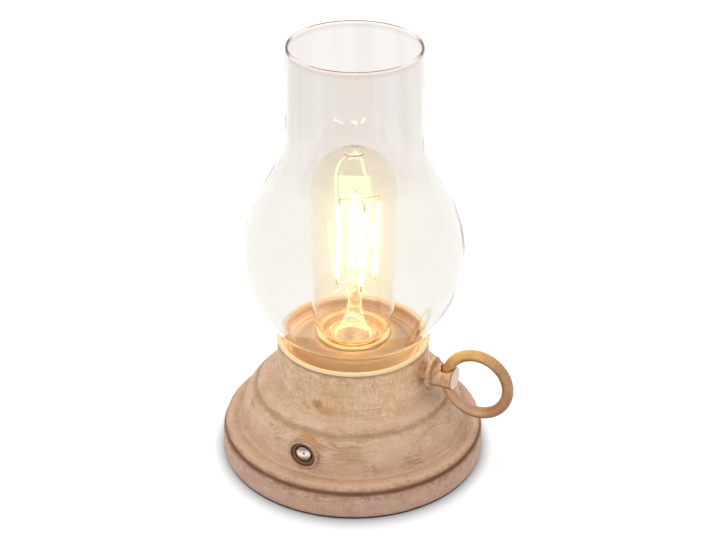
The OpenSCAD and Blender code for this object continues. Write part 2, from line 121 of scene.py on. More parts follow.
# ---------------------------------------------------------------- material graph helper
class Graph:
    def __init__(self, name):
        self.mat = bpy.data.materials.new(name)
        self.mat.use_nodes = True
        self.nt = self.mat.node_tree
        self.nt.nodes.clear()
        self.out = self.nt.nodes.new("ShaderNodeOutputMaterial")
        self.bsdf = self.nt.nodes.new("ShaderNodeBsdfPrincipled")
        self.nt.links.new(self.bsdf.outputs[0], self.out.inputs["Surface"])
        self._p = None

    def put(self, sock, v):
        if isinstance(v, bpy.types.NodeSocket):
            self.nt.links.new(v, sock)
        elif v is not None:
            if hasattr(sock.default_value, "__len__") and not isinstance(v, (list, tuple)):
                v = (v, v, v)
            if hasattr(sock.default_value, "__len__") and len(sock.default_value) == 4 and len(v) == 3:
                v = (*v, 1.0)
            sock.default_value = v

    def set(self, name, v):
        self.put(self.bsdf.inputs[name], v)

    def math(self, op, a, b=None, c=None, clamp=False):
        n = self.nt.nodes.new("ShaderNodeMath")
        n.operation = op
        n.use_clamp = clamp
        for i, v in enumerate((a, b, c)):
            if v is not None:
                self.put(n.inputs[i], v)
        return n.outputs[0]

    def add(self, a, b):
        return self.math("ADD", a, b)

    def sub(self, a, b):
        return self.math("SUBTRACT", a, b)

    def mul(self, a, b):
        return self.math("MULTIPLY", a, b)

    def vec(self, x, y, z):
        n = self.nt.nodes.new("ShaderNodeCombineXYZ")
        for i, v in enumerate((x, y, z)):
            self.put(n.inputs[i], v)
        return n.outputs[0]

    def obj(self):
        """Object coordinates in mm: x, y, z, radius."""
        if self._p is None:
            t = self.nt.nodes.new("ShaderNodeTexCoord")
            s = self.nt.nodes.new("ShaderNodeVectorMath")
            s.operation = "SCALE"
            self.nt.links.new(t.outputs["Object"], s.inputs[0])
            s.inputs["Scale"].default_value = 1000.0
            q = self.nt.nodes.new("ShaderNodeSeparateXYZ")
            self.nt.links.new(s.outputs[0], q.inputs[0])
            x, y, z = q.outputs
            r = self.math("SQRT", self.add(self.mul(x, x), self.mul(y, y)))
            self._p = (x, y, z, r, s.outputs[0])
        return self._p

    def down(self, a=-0.1, b=-0.8):
        """1 where the surface faces the table, 0 where it faces up."""
        t = self.nt.nodes.new("ShaderNodeTexCoord")
        q = self.nt.nodes.new("ShaderNodeSeparateXYZ")
        self.nt.links.new(t.outputs["Normal"], q.inputs[0])
        return self.step(q.outputs[2], a, b)

    def noise(self, v, scale=1.0, detail=2.0, rough=0.5, lac=2.0, distort=0.0):
        n = self.nt.nodes.new("ShaderNodeTexNoise")
        self.put(n.inputs["Vector"], v)
        self.put(n.inputs["Scale"], scale)
        self.put(n.inputs["Detail"], detail)
        self.put(n.inputs["Roughness"], rough)
        self.put(n.inputs["Lacunarity"], lac)
        self.put(n.inputs["Distortion"], distort)
        return n.outputs["Fac"]

    def voronoi(self, v, scale=1.0, rand=1.0):
        n = self.nt.nodes.new("ShaderNodeTexVoronoi")
        self.put(n.inputs["Vector"], v)
        self.put(n.inputs["Scale"], scale)
        self.put(n.inputs["Randomness"], rand)
        return n.outputs["Distance"]

    def step(self, v, a, b, lo=0.0, hi=1.0, smooth=True):
        n = self.nt.nodes.new("ShaderNodeMapRange")
        n.interpolation_type = "SMOOTHSTEP" if smooth else "LINEAR"
        n.clamp = True
        self.put(n.inputs["Value"], v)
        self.put(n.inputs["From Min"], a)
        self.put(n.inputs["From Max"], b)
        self.put(n.inputs["To Min"], lo)
        self.put(n.inputs["To Max"], hi)
        return n.outputs["Result"]

    def ramp(self, v, stops, mode="LINEAR"):
        n = self.nt.nodes.new("ShaderNodeValToRGB")
        n.color_ramp.interpolation = mode
        e = n.color_ramp.elements
        while len(e) < len(stops):
            e.new(0.5)
        for k, (pos, col) in enumerate(stops):
            e[k].position = pos
            e[k].color = (*col, 1.0)
        self.put(n.inputs["Fac"], v)
        return n.outputs["Color"]

    def mix(self, f, a, b, mode="MIX"):
        n = self.nt.nodes.new("ShaderNodeMix")
        n.data_type = "RGBA"
        n.blend_type = mode
        self.put(n.inputs[0], f)
        self.put(n.inputs[6], a)
        self.put(n.inputs[7], b)
        return n.outputs[2]

    def bump(self, h, dist, strength=1.0, normal=None):
        n = self.nt.nodes.new("ShaderNodeBump")
        self.put(n.inputs["Height"], h)
        self.put(n.inputs["Distance"], dist)
        self.put(n.inputs["Strength"], strength)
        if normal is not None:
            self.put(n.inputs["Normal"], normal)
        return n.outputs[0]


def lin(r, g, b):
    """sRGB 0-255 to linear."""
    f = lambda c: (c / 255 / 12.92) if c <= 10.3 else ((c / 255 + 0.055) / 1.055) ** 2.4
    return (f(r), f(g), f(b))


def ring_mask(g, rc, zc, width, noise=None, amp=0.0):
    """1 on the circle (rc, zc) about the axis, fading over width mm."""
    x, y, z, r, p = g.obj()
    dr, dz = g.sub(r, rc), g.sub(z, zc)
    d = g.math("SQRT", g.add(g.mul(dr, dr), g.mul(dz, dz)))
    if noise is not None:
        d = g.add(d, g.mul(g.sub(noise, 0.5), amp))
    return g.step(d, 0.0, width, 1.0, 0.0)


# ---------------------------------------------------------------- paint on the base
def spot(g, at, size, noise=None, amp=0.0, squeeze=(1, 1, 1)):
    """1 inside a soft blot about a point in mm, 0 outside it."""
    x, y, z, r, p = g.obj()
    d = None
    for v, c, k in zip((x, y, z), at, squeeze):
        e = g.mul(g.sub(v, c), k)
        e = g.mul(e, e)
        d = e if d is None else g.add(d, e)
    d = g.math("SQRT", d)
    if noise is not None:
        d = g.add(d, g.mul(g.sub(noise, 0.5), amp))
    return g.step(d, size * 0.35, size, 1.0, 0.0)


def base_paint(name="base_paint", boss=False, stud=False):
    g = Graph(name)
    x, y, z, r, p = g.obj()
    ux, uy = g.math("DIVIDE", x, g.math("MAXIMUM", r, 0.5)), g.math("DIVIDE", y, g.math("MAXIMUM", r, 0.5))
    warp = g.noise(p, 0.05, 2.0)
    sw = g.add(g.sub(z, r), g.mul(warp, 6.0))
    patch = g.noise(p, 0.042, 3.0, 0.55)
    patch2 = g.noise(g.vec(g.add(x, 40.0), g.add(y, 17.0), g.add(z, 9.0)), 0.075, 3.0, 0.6)
    mid = g.noise(g.vec(g.mul(ux, 7.0), g.mul(uy, 7.0), g.mul(sw, 0.30)), 1.0, 3.0, 0.55)
    fine = g.noise(g.vec(g.mul(ux, 20.0), g.mul(uy, 20.0), g.mul(sw, 1.25)), 1.0, 3.0, 0.6)
    mottle = g.noise(p, 0.55, 4.0, 0.6)
    up = g.noise(g.vec(g.mul(ux, 48.0), g.mul(uy, 48.0), g.mul(z, 0.11)), 1.0, 3.0, 0.6)
    # tan first, then peach, olive and pink washes in wide soft patches
    t = g.add(g.mul(mid, 0.34), g.add(g.mul(fine, 0.22), g.add(g.mul(mottle, 0.24), g.mul(up, 0.20))))
    col = g.ramp(t, [(0.37, lin(178, 138, 102)), (0.455, lin(201, 164, 130)), (0.53, lin(213, 180, 149)),
                     (0.63, lin(226, 199, 171))])
    col = g.mix(g.step(patch, 0.44, 0.62, 0.0, 0.60), col, lin(213, 176, 150))
    col = g.mix(g.step(patch2, 0.50, 0.66, 0.0, 0.55), col, lin(197, 164, 126))
    # lower tiers are pinker than the neck, and darker as painted shade of light falling from above
    low = g.step(z, 42.0, 24.0, 0.0, 1.0)
    col = g.mix(g.mul(low, 0.55), col, lin(192, 153, 129))
    if not (boss or stud):
        skirt = g.step(z, 14.9, 14.0, 0.0, 1.0)
        blot = g.noise(g.vec(g.mul(ux, 9.0), g.mul(uy, 9.0), g.mul(z, 0.16)), 1.0, 4.0, 0.6)
        sk = g.ramp(g.add(g.mul(up, 0.24), g.add(g.mul(blot, 0.46), g.mul(mottle, 0.30))),
                    [(0.36, lin(168, 130, 110)), (0.47, lin(182, 146, 126)), (0.56, lin(190, 157, 138)),
                     (0.68, lin(204, 174, 155))])
        sk = g.mix(g.step(g.noise(p, 0.06, 3.0, 0.6), 0.48, 0.62, 0.0, 0.35), sk, lin(170, 146, 122))
        sk = g.mix(g.step(g.noise(g.vec(g.add(x, 70.0), y, z), 0.05, 2.0), 0.50, 0.64, 0.0, 0.35), sk, lin(196, 148, 132))
        col = g.mix(g.mul(skirt, 0.92), col, sk)
    # brush strokes in loose clusters on the tiers
    stroke = g.noise(g.vec(g.mul(ux, 9.0), g.mul(uy, 9.0), g.mul(sw, 0.95)), 1.0, 2.5, 0.6)
    where = g.mul(g.step(g.noise(p, 0.052, 2.0), 0.47, 0.60), g.step(z, 48.0, 36.0))
    where = g.mul(where, g.step(z, 17.0, 21.0))
    col = g.mix(g.mul(g.mul(g.step(stroke, 0.44, 0.60), where), 0.66), col, lin(156, 116, 82))
    # faint short strokes elsewhere
    dash = g.noise(g.vec(g.mul(ux, 16.0), g.mul(uy, 16.0), g.mul(sw, 1.5)), 1.0, 2.0, 0.5)
    where2 = g.step(g.noise(p, 0.09, 2.0), 0.50, 0.62)
    col = g.mix(g.mul(g.mul(g.step(dash, 0.50, 0.64), where2), 0.55), col, lin(162, 126, 86))
    # long faint lines left by the brush all round
    brush = g.noise(g.vec(g.mul(ux, 2.2), g.mul(uy, 2.2), g.mul(g.sub(z, g.mul(r, 0.8)), 1.9)), 1.0, 3.0, 0.7)
    bz = g.step(z, 15.5, 19.0)
    col = g.mix(g.mul(g.mul(g.step(brush, 0.52, 0.68), bz), 0.34), col, lin(170, 132, 96))
    col = g.mix(g.mul(g.mul(g.step(brush, 0.46, 0.34), bz), 0.30), col, lin(228, 198, 170))
    n1 = g.noise(g.vec(g.mul(ux, 11.0), g.mul(uy, 11.0), g.mul(z, 0.5)), 1.0, 3.0, 0.65)
    n2 = g.noise(g.vec(g.mul(ux, 26.0), g.mul(uy, 26.0), g.mul(z, 0.35)), 1.0, 3.0, 0.7)
    if not (boss or stud):
        # lighter rings on the ridge top, the skirt's top rim and the bead: painted highlight where they face the
        # light, together with rubbed wear
        for rc, zc, w, k in ((68.4, 18.6, 2.4, 0.30), (71.9, 13.9, 1.2, 0.30), (49.2, 43.4, 4.2, 0.55)):
            m = ring_mask(g, rc, zc, w, n1, w * 0.8)
            col = g.mix(g.mul(m, k), col, lin(224, 190, 164))
        # darker rings in the creases, beneath the gallery's rolled rim and along the foot: painted shade, over brown
        # patina in the creases
        for rc, zc, w, k, c in ((69.8, 14.9, 3.3, 0.86, lin(138, 98, 72)), (53.6, 39.4, 3.2, 0.64, lin(160, 124, 88)),
                                (64.4, 19.6, 1.3, 0.42, lin(166, 122, 92)), (41.3, 69.2, 2.3, 0.75, lin(146, 112, 72)),
                                (43.6, 47.6, 3.6, 0.22, lin(176, 140, 102)), (70.9, 14.1, 2.6, 0.62, lin(138, 98, 68)), (70.9, 16.2, 2.2, 0.62, lin(150, 108, 76)),
                                (72.5, 0.9, 1.5, 0.75, lin(92, 66, 54))):
            m = ring_mask(g, rc, zc, w, n1, w * 1.5)
            col = g.mix(g.mul(m, k), col, c)
        # ragged wax smeared out of the groove, up the tier and down the skirt
        rag = g.add(g.mul(n2, 0.6), g.mul(mottle, 0.4))
        m = ring_mask(g, 70.3, 15.4, 3.2, rag, 12.0)
        col = g.mix(g.mul(m, 0.60), col, lin(140, 102, 74))
        run = g.mul(g.step(n2, 0.50, 0.62), g.mul(g.step(z, 15.2, 14.4), g.step(z, 7.8, 13.4)))
        col = g.mix(g.mul(run, 0.65), col, lin(140, 102, 78))
        drip = g.noise(g.vec(g.mul(ux, 34.0), g.mul(uy, 34.0), g.mul(z, 0.09)), 1.0, 2.0, 0.6)
        m = g.mul(g.step(drip, 0.53, 0.66), g.mul(g.step(z, 56.0, 66.0), g.step(patch2, 0.44, 0.56)))
        col = g.mix(g.mul(m, 0.45), col, lin(158, 124, 80))
        # painted light: the bead and the neck's foot are lightened on the +x side, standing in for light from that
        # side
        m = g.mul(g.step(x, 16.0, 36.0), g.step(z, 42.0, 50.0))
        col = g.mix(m, col, (1.17, 1.15, 1.12), "MULTIPLY")
        # a few handling marks on the neck
        thin = g.noise(g.vec(g.mul(ux, 60.0), g.mul(uy, 60.0), g.mul(z, 0.25)), 1.0, 2.0, 0.6)
        m = g.mul(spot(g, (26.0, -32.8, 62.0), 6.5, thin, 3.0, (1, 1, 0.9)), g.step(thin, 0.52, 0.64))
        col = g.mix(g.mul(m, 0.60), col, lin(138, 108, 66))
        m = spot(g, (-0.6, -42.9, 50.4), 3.0, mottle, 4.0, (0.8, 1, 1))
        col = g.mix(g.mul(m, 0.75), col, lin(158, 104, 44))
        m = spot(g, (4.6, -43.4, 48.0), 4.6, thin, 3.6, (0.6, 1, 1.4))
        col = g.mix(g.mul(m, 0.60), col, lin(176, 132, 78))
        m = spot(g, (-12.0, -39.0, 57.0), 5.5, mottle, 3.0, (0.8, 1, 0.9))
        col = g.mix(g.mul(m, 0.40), col, lin(190, 152, 108))
        m = spot(g, (9.0, -41.0, 52.0), 12.0, patch2, 8.0)
        col = g.mix(g.mul(m, 0.30), col, lin(206, 160, 112))
        # a browner, brushed patch beside the button, and an orange one below it
        line = g.noise(g.vec(g.mul(ux, 5.0), g.mul(uy, 5.0), g.mul(sw, 1.7)), 1.0, 3.0, 0.65)
        m = g.mul(spot(g, (23.5, -54.6, 31.0), 9.5, mid, 5.0, (0.75, 1, 1)), g.step(line, 0.40, 0.58, 0.25, 1.0))
        col = g.mix(g.mul(m, 0.70), col, lin(160, 119, 84))
        m = spot(g, (18.0, -58.0, 24.0), 8.0, patch2, 6.0, (0.8, 1, 1))
        col = g.mix(g.mul(m, 0.35), col, lin(204, 154, 112))
        # olive left low on the neck's left and over the flare
        m = spot(g, (-34.0, -34.0, 42.0), 16.0, patch2, 10.0)
        col = g.mix(g.mul(g.mul(m, g.step(mid, 0.42, 0.58)), 0.45), col, lin(176, 144, 102))
    if boss:
        col = g.mix(g.mul(spot(g, (2.2, -55.6, 38.6), 7.2, mottle, 4.0), 0.85), col, lin(196, 142, 86))
        # painted shade: a dark ring round the boss's rim and a darker band inside it, standing in for shadow lines at
        # its outline
        dz = g.sub(z, 29.7)
        q = g.math("SQRT", g.add(g.mul(x, x), g.mul(dz, dz)))
        q = g.add(q, g.mul(g.sub(mottle, 0.5), 0.8))
        boss_rim_shade = g.mul(g.step(q, 8.1, 8.5), g.step(y, -59.5, -61.0))
        col = g.mix(g.mul(boss_rim_shade, g.step(mid, 0.40, 0.56, 0.25, 0.75)), col, lin(150, 110, 78))
        col = g.mix(g.mul(g.mul(g.step(q, 8.0, 7.4), g.step(y, -61.0, -61.6)), 0.5), col, lin(138, 100, 74))
    if stud:
        wear = g.noise(p, 0.42, 3.0, 0.65)
        col = g.mix(0.5, col, lin(204, 160, 116))
        col = g.mix(g.mul(g.step(wear, 0.47, 0.62), 0.62), col, lin(166, 122, 76))
        # painted shadow: the stud's downward-facing surfaces are darkened
        col = g.mix(g.mul(g.down(-0.30, -0.78), 0.90), col, lin(84, 52, 30))
        # painted shade line at the stud end's rim, standing in for a small groove's shadow; the end face is painted
        # lighter as a painted highlight
        end_rim_shade = g.mul(g.step(x, 59.2, 59.9), g.step(x, 60.45, 60.3))
        col = g.mix(g.mul(end_rim_shade, 0.6), col, lin(128, 94, 62))
        col = g.mix(g.mul(g.step(x, 60.3, 60.46), 0.85), col, lin(240, 212, 190))
        # painted shade at the stud's root beside the flange
        root = g.mul(g.step(x, 48.3, 48.7), g.step(x, 50.1, 49.0))
        col = g.mix(g.mul(root, 0.5), col, lin(150, 112, 78))
    g.set("Base Color", col)
    g.set("Metallic", 0.08)
    g.set("Roughness", g.step(t, 0.36, 0.66, 0.60, 0.46))
    g.set("Specular IOR Level", 0.35)
    h = g.add(g.mul(fine, 0.45), g.add(g.mul(mottle, 0.35), g.mul(up, 0.2)))
    g.set("Normal", g.bump(h, 0.00014, 0.6, g.bump(patch2, 0.0012, 0.5)))
    return g.mat


# ---------------------------------------------------------------- other finishes
def ring_brass():
    g = Graph("ring_brass")
    x, y, z, r, p = g.obj()
    big = g.noise(p, 0.13, 3.0, 0.6)
    fine = g.noise(p, 1.1, 4.0, 0.65)
    scratch = g.noise(g.vec(g.mul(x, 0.5), g.mul(y, 2.5), g.mul(z, 0.5)), 1.0, 3.0, 0.6)
    t = g.add(g.mul(big, 0.5), g.add(g.mul(fine, 0.25), g.mul(scratch, 0.25)))
    col = g.ramp(t, [(0.36, lin(150, 106, 68)), (0.46, lin(184, 138, 94)), (0.56, lin(202, 158, 112)), (0.70, lin(216, 178, 134))])
    # the top painted lighter and yellower: painted highlight from above, with handling wear; pinker low down
    top = g.mul(g.step(z, 68.0, 74.0), g.step(x, 84.0, 72.0))
    col = g.mix(g.mul(top, 0.6), col, lin(226, 184, 110))
    low = g.mul(g.step(z, 54.0, 46.0), g.step(x, 78.0, 66.0))
    col = g.mix(g.mul(low, 0.75), col, lin(202, 162, 136))
    # painted shade: the ring's lower outer part is darker
    low_outer_shade = g.mul(g.step(z, 54.0, 46.0), g.step(x, 74.0, 84.0))
    col = g.mix(g.mul(low_outer_shade, 0.6), col, lin(184, 124, 88))
    root = g.mul(g.step(x, 61.0, 57.5), g.step(z, 62.5, 65.5))
    col = g.mix(g.mul(root, 0.55), col, lin(196, 132, 60))
    # painted shade: the ring's +x side is darker
    right_shade = g.step(x, 80.0, 90.0)
    col = g.mix(g.mul(right_shade, 0.45), col, lin(160, 116, 82))
    # painted shade: the ring's downward-facing surfaces are darkened
    underside_shade = g.mul(g.down(0.30, -0.60), g.step(x, 60.0, 66.0))
    col = g.mix(g.mul(underside_shade, 0.70), col, lin(112, 74, 46))
    g.set("Base Color", col)
    g.set("Metallic", 0.35)
    g.set("Roughness", g.step(fine, 0.35, 0.7, 0.36, 0.50))
    g.set("Normal", g.bump(g.add(fine, scratch), 0.0001, 0.4))
    return g.mat


def gallery_brass():
    g = Graph("gallery_brass")
    x, y, z, r, p = g.obj()
    ux, uy = g.math("DIVIDE", x, g.math("MAXIMUM", r, 0.5)), g.math("DIVIDE", y, g.math("MAXIMUM", r, 0.5))
    turn = g.noise(g.vec(g.mul(ux, 3.0), g.mul(uy, 3.0), g.mul(g.sub(z, r), 2.2)), 1.0, 3.0, 0.6)
    cloud = g.noise(p, 0.08, 3.0, 0.6)
    t = g.add(g.mul(turn, 0.45), g.mul(cloud, 0.55))
    col = g.ramp(t, [(0.35, lin(196, 152, 106)), (0.5, lin(210, 168, 120)), (0.65, lin(222, 184, 138))])
    # painted shade: the deck's front is darker and pinker
    front_shade_weight = g.mul(g.step(y, -6.0, -26.0), g.step(r, 31.0, 29.0))
    col = g.mix(g.mul(front_shade_weight, 0.45), col, lin(192, 158, 132))
    # painted light: the trough's sides are lightened
    side_light = g.step(g.math("ABSOLUTE", x), 22.0, 36.0)
    col = g.mix(g.mul(side_light, 0.85), col, lin(250, 220, 184))
    # the rolled rim is painted bright as a painted highlight of the lamp, and the trough's corner is dark as painted
    # shade
    col = g.mix(g.mul(g.step(z, 69.2, 70.3), g.step(r, 38.4, 38.9)), col, lin(240, 216, 172))
    m = ring_mask(g, 38.7, 68.0, 1.4, cloud, 0.6)
    col = g.mix(g.mul(m, 0.45), col, lin(150, 108, 58))
    g.set("Base Color", col)
    g.set("Metallic", 0.35)
    g.set("Roughness", g.step(turn, 0.35, 0.65, 0.38, 0.50))
    g.set("Normal", g.bump(turn, 0.00005, 0.4))
    return g.mat


def bezel():
    g = Graph("bezel_bronze")
    x, y, z, r, p = g.obj()
    dz = g.sub(z, 29.7)
    q = g.math("SQRT", g.add(g.mul(x, x), g.mul(dz, dz)))
    n = g.noise(p, 0.9, 3.0, 0.6)
    q = g.add(q, g.mul(g.sub(n, 0.5), 0.5))
    # bands by distance from the button's axis: dark outer ring, a lighter band that is a painted highlight, and a dark
    # ring beside the dome that is painted shade in the gap
    col = g.ramp(g.step(q, 4.4, 7.4, 0.0, 1.0, False), [(0.0, lin(70, 46, 34)), (0.22, lin(82, 56, 42)), (0.34, lin(126, 94, 72)),
                 (0.60, lin(136, 102, 78)), (0.74, lin(88, 58, 40)), (1.0, lin(104, 72, 52))])
    g.set("Base Color", col)
    g.set("Metallic", 0.5)
    g.set("Roughness", 0.34)
    g.set("Normal", g.bump(n, 0.00005, 0.5))
    return g.mat


def button_dome():
    g = Graph("button_chrome")
    x, y, z, r, p = g.obj()
    dz = g.sub(z, 29.7)
    # painted reflection: the dome is painted lighter and darker by height, as reflections of its surroundings
    col = g.ramp(g.step(g.add(dz, g.mul(x, -0.3)), -3.0, 3.0, 0.0, 1.0, False),
                 [(0.0, lin(168, 136, 122)), (0.30, lin(196, 172, 162)), (0.55, lin(236, 228, 226)), (0.80, lin(226, 214, 210)),
                  (1.0, lin(178, 152, 140))])
    # painted reflection: a small dark spot near the top
    ex, ez = g.sub(x, 1.0), g.sub(dz, 1.5)
    q = g.math("SQRT", g.add(g.mul(ex, ex), g.mul(ez, ez)))
    col = g.mix(g.step(q, 0.85, 0.35), col, lin(52, 44, 42))
    g.set("Base Color", col)
    g.set("Metallic", 0.85)
    g.set("Roughness", 0.14)
    return g.mat


def metal(name, col, rough=0.3, metallic=1.0, grain=1.2, vary=0.12, bump=0.00004):
    g = Graph(name)
    x, y, z, r, p = g.obj()
    n = g.noise(p, grain, 4.0, 0.6)
    lo = tuple(max(0.0, c * (1 - vary)) for c in col)
    hi = tuple(min(1.0, c * (1 + vary)) for c in col)
    g.set("Base Color", g.ramp(n, [(0.35, lo), (0.65, hi)]))
    g.set("Metallic", metallic)
    g.set("Roughness", g.step(n, 0.3, 0.7, rough * 0.85, rough * 1.2))
    if bump:
        g.set("Normal", g.bump(n, bump, 0.5))
    return g.mat


def cap_top():
    """The lamp's cap, with painted gold streaks and a faint painted glow on its top, standing in for the filaments'
    light shining down on it.
    """
    g = Graph("cap_top")
    x, y, z, r, p = g.obj()
    n = g.noise(g.vec(g.mul(x, 0.10), g.mul(y, 0.10), g.mul(r, 0.55)), 1.0, 3.0, 0.6)
    g.set("Base Color", g.ramp(n, [(0.38, lin(206, 148, 82)), (0.5, lin(232, 184, 116)), (0.62, lin(252, 226, 172))]))
    g.set("Metallic", 0.3)
    g.set("Roughness", 0.4)
    g.set("Emission Color", g.ramp(n, [(0.40, (0.60, 0.34, 0.12)), (0.60, (1.0, 0.78, 0.42))]))
    g.set("Emission Strength", g.mul(g.step(z, 71.3, 71.6), 0.22))
    return g.mat


def plastic(name, col, rough=0.5, grain=3.0, vary=0.15, bump=0.00003):
    return metal(name, col, rough, 0.0, grain, vary, bump)


def glass(name, stops, ior=1.47, rough=0.0, wave=0.0, rim=None, bands=False):
    """Clear glass; stops are (height in mm, tint); rim is (height, colour) of a faint painted glow above that height
    as a painted highlight, and bands adds darker vertical painted shade bands high on the neck.
    """
    g = Graph(name)
    g.set("Transmission Weight", 1.0)
    g.set("IOR", ior)
    g.set("Roughness", rough)
    x, y, z, r, p = g.obj()
    if len(stops) == 1:
        g.set("Base Color", stops[0][1])
    else:
        col = g.ramp(g.math("DIVIDE", z, 250.0), [(h / 250.0, c) for h, c in stops])
        if bands:
            # painted shade: darker vertical bands high on the neck
            n = g.noise(g.vec(g.mul(x, 0.075), g.mul(y, 0.075), g.mul(z, 0.004)), 1.0, 2.0, 0.5)
            up = g.step(z, 168.0, 190.0)
            col = g.mix(g.mul(g.mul(g.step(n, 0.40, 0.60), up), 0.5), col, (0.925, 0.895, 0.880), "MULTIPLY")
        g.set("Base Color", col)
    if rim is not None:
        # painted highlight: the rim glows faintly
        g.set("Emission Color", rim[1])
        g.set("Emission Strength", g.step(z, rim[0] - 0.3, rim[0] + 0.2))
    if wave:
        g.set("Normal", g.bump(g.noise(p, 0.035, 2.0, 0.45), wave, 1.0))
    return g.mat


def stem_glass():
    """Clear glass with a faint painted glow, strongest at its foot, standing in for the filaments' light shining into
    it.
    """
    g = Graph("stem_glass")
    x, y, z, r, p = g.obj()
    g.set("Transmission Weight", 1.0)
    g.set("IOR", 1.42)
    g.set("Roughness", 0.0)
    g.set("Base Color", (0.985, 0.965, 0.91))
    n = g.noise(g.vec(g.mul(x, 0.22), g.mul(y, 0.22), g.mul(z, 0.7)), 1.0, 3.0, 0.6)
    g.set("Emission Color", (1.0, 0.80, 0.48))
    g.set("Emission Strength", g.add(0.09, g.mul(g.step(z, 82.0, 75.0), g.step(n, 0.42, 0.60, 0.10, 0.28))))
    return g.mat


def filament_mat():
    g = Graph("lit_filament")
    x, y, z, r, p = g.obj()
    n = g.noise(p, 1.5, 2.0)
    g.set("Base Color", g.ramp(n, [(0.3, lin(255, 214, 130)), (0.7, lin(255, 232, 170))]))
    g.set("Roughness", 0.6)
    g.set("Emission Color", g.ramp(n, [(0.3, (1.0, 0.70, 0.34)), (0.7, (1.0, 0.76, 0.42))]))
    g.set("Emission Strength", 9.0)
    return g.mat


M = {}
M["base_paint"] = base_paint()
M["ring_brass"] = ring_brass()
M["gallery_brass"] = gallery_brass()
# the chimney's rim gets a faint painted glow as a painted highlight, and its neck painted shade bands
M["chimney_glass"] = glass("chimney_glass", [(70, (0.96, 0.94, 0.90)), (95, (0.918, 0.905, 0.875)), (168, (0.915, 0.902, 0.872)),
                                             (184, (0.874, 0.854, 0.836)), (234.5, (0.872, 0.850, 0.832)), (237.2, (0.76, 0.72, 0.71))],
                           1.45, 0.0, 0.0002, (237.5, (0.15, 0.105, 0.075)), True)
M["amber_glass"] = glass("amber_glass", [(72, (0.99, 0.93, 0.76)), (100, (0.995, 0.965, 0.88)), (182, (0.992, 0.962, 0.870))], 1.46)
M["stem_glass"] = stem_glass()
M["lit_filament"] = filament_mat()
M["cap_metal"] = metal("cap_metal", lin(228, 188, 124), 0.4, 0.3)
M["cap_top"] = cap_top()
M["holder_brass"] = metal("holder_brass", lin(236, 204, 150), 0.36, 0.4)
M["holder_plastic"] = plastic("holder_plastic", lin(214, 178, 122), 0.5)
M["zinc_steel"] = metal("zinc_steel", (0.58, 0.58, 0.56), 0.34)
M["plate_paint"] = plastic("plate_paint", (0.06, 0.055, 0.05), 0.55)
M["foot_foam"] = plastic("foot_foam", (0.03, 0.028, 0.026), 0.9, 2.2, 0.3, 0.00015)
M["bezel_bronze"] = bezel()
M["button_chrome"] = button_dome()
M["cap_glass"] = plastic("cap_glass", (0.02, 0.02, 0.025), 0.15)
M["switch_plastic"] = plastic("switch_plastic", (0.03, 0.03, 0.033), 0.5)
M["cell_wrap"] = plastic("cell_wrap", (0.06, 0.2, 0.4), 0.3)
M["tray_plastic"] = plastic("tray_plastic", (0.03, 0.03, 0.03), 0.5)
M["board_green"] = plastic("board_green", (0.02, 0.16, 0.07), 0.35)
M["chip_black"] = plastic("chip_black", (0.03, 0.03, 0.035), 0.45)
M["socket_steel"] = metal("socket_steel", (0.6, 0.6, 0.62), 0.3)
M["port_rubber"] = plastic("port_rubber", (0.035, 0.03, 0.028), 0.6)
M["lead_wire"] = plastic("lead_wire", (0.4, 0.04, 0.03), 0.4)
M["stud_paint"] = base_paint("stud_paint", stud=True)
M["boss_paint"] = base_paint("boss_paint", boss=True)

slot_of = {s["node"]: s["material_slot"] for s in frame["record"]["subparts"]}
for name, ob in nodes.items():
    ob.data.materials.clear()
    ob.data.materials.append(M[{"button_bush": "boss_paint", "bulb_cap": "cap_top"}.get(name, slot_of[name])])

# ---------------------------------------------------------------- turned glass
glass_out = [(36.2, 64.8), (36.2, 68), (36.2, 73), (37.4, 75.8), (41.5, 79.6), (43.8, 82),
             (46.6, 85.8), (49.4, 90), (53.6, 98), (57.1, 108), (58.9, 118), (58.8, 128), (57, 138),
             (53.3, 148), (49.3, 156), (46.1, 162), (43.2, 168), (38.8, 176), (36.5, 180.4),
             (35.7, 185), (35.5, 192), (35.3, 210), (34.9, 228), (34.7, 235), (34.65, 237.6)]
o = chaikin(glass_out, 3)
i_ = wall(o, 1.25)
foot = ((o[0][0] + i_[0][0]) / 2, o[0][1])
rim = ((o[-1][0] + i_[-1][0]) / 2, (o[-1][1] + i_[-1][1]) / 2)
prof = [(foot[0] + 0.625 * math.cos(math.radians(a)), foot[1] + 0.5 * math.sin(math.radians(a))) for a in range(190, 351, 10)]
prof += o
prof += [(rim[0] + 0.825 * math.cos(math.radians(a)), rim[1] + 1.4 * math.sin(math.radians(a))) for a in range(10, 171, 8)]
prof += i_[::-1]
chimney = lathe("chimney", prof, 240, sharp=180)
chimney.data.materials.append(M["chimney_glass"])
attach(chimney, "chimney")
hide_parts("glass_chimney")

R = 22.4
env_out = [(13, 69.5), (13, 72.4), (14.6, 73), (17.2, 74.4), (19.8, 77), (21.5, 81), (R - 0.3, 85.6), (R, 91),
           (R, 157), (R - 0.3, 163), (20.8, 168.8), (18.2, 173.8), (14, 177.8), (9.5, 180.2), (6.8, 181), (5.3, 181),
           (4.2, 180.2), (2, 179.8), (0, 179.7)]
o = chaikin(env_out, 3)
i_ = wall(o, 0.8)
prof = o[:-1] + [(0.0, o[-1][1]), (0.0, o[-1][1] - 0.8)] + i_[:-1][::-1]
envelope = lathe("bulb_envelope", prof, 160, sharp=180)
envelope.data.materials.append(M["amber_glass"])
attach(envelope, "bulb")
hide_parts("bulb_glass")

